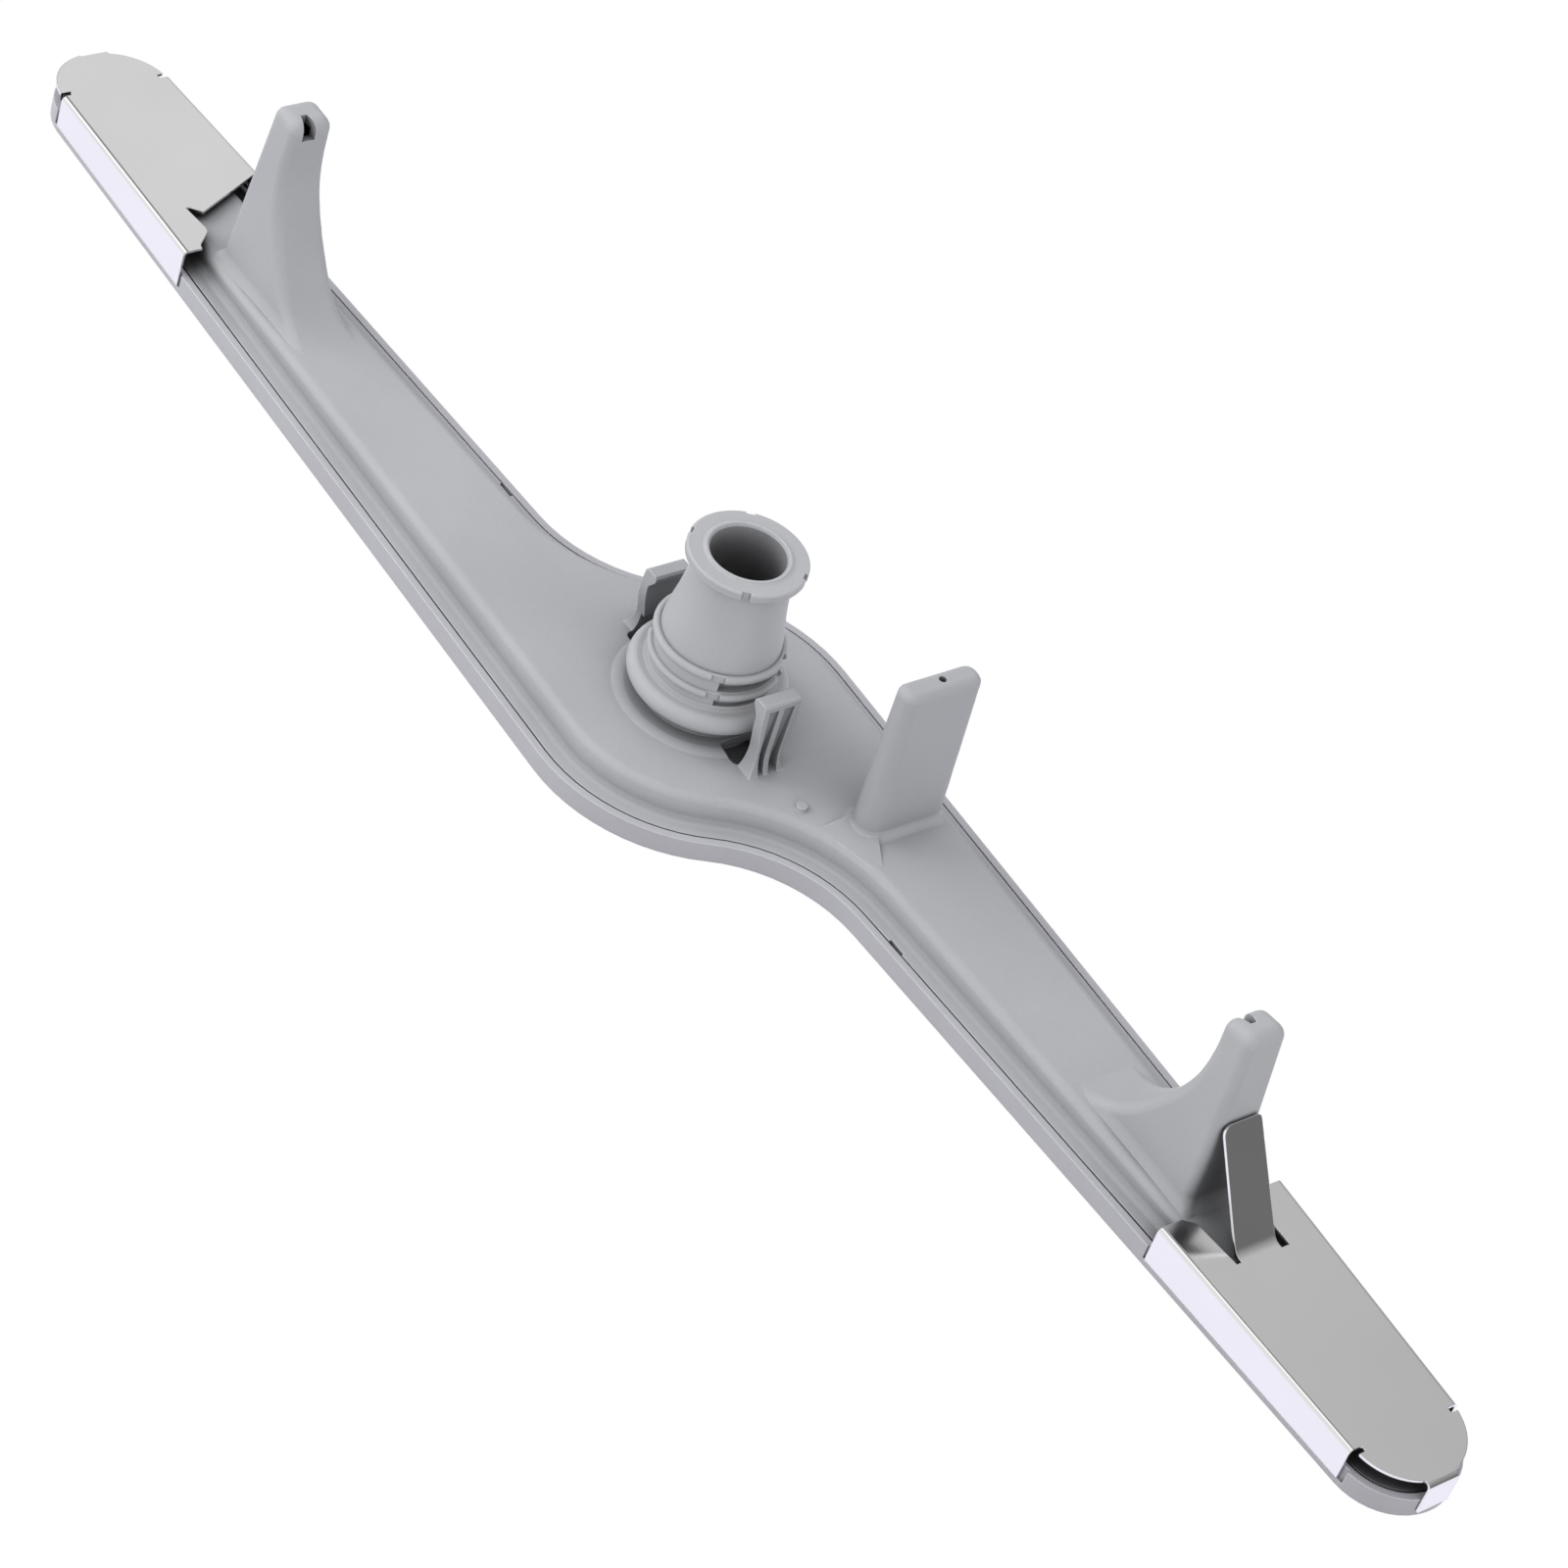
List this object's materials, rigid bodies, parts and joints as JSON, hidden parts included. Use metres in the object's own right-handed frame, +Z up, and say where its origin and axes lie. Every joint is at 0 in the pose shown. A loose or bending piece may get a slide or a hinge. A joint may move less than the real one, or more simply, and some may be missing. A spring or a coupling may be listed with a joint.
{
  "type": "dishwasher spray arm",
  "caption": "S-shaped rotating spray arm with hollow nozzle towers, a notched inlet sleeve at its hub and folded steel plates over both arm ends.",
  "frame": {"origin": "on the hub axis, on the flat underside of the arm", "axes": "+Z up along the hub axis towards the open end of the inlet sleeve, X along the two arms, with the end plate that carries the upright tab on the +X side"},
  "size_m": [0.486, 0.0832, 0.0577],
  "materials": {
    "shell_plastic": "satin moulded",
    "cover_plastic": "satin moulded",
    "sleeve_plastic": "satin moulded",
    "plate_steel": "fine brushed"
  },
  "bodies": {
    "arm": {"lower_shell": "shell_plastic", "top_cover": "cover_plastic", "left_end_plate": "plate_steel", "right_end_plate": "plate_steel"},
    "sleeve": {"inlet_sleeve": "sleeve_plastic", "retaining_ring": "sleeve_plastic"}
  },
  "joints": [
    {"name": "sleeve_spin", "type": "hinge", "parent": "arm", "child": "sleeve", "pos_m": [0, 0, 0.012], "axis": [0, 0, 1], "continuous": true}
  ]
}
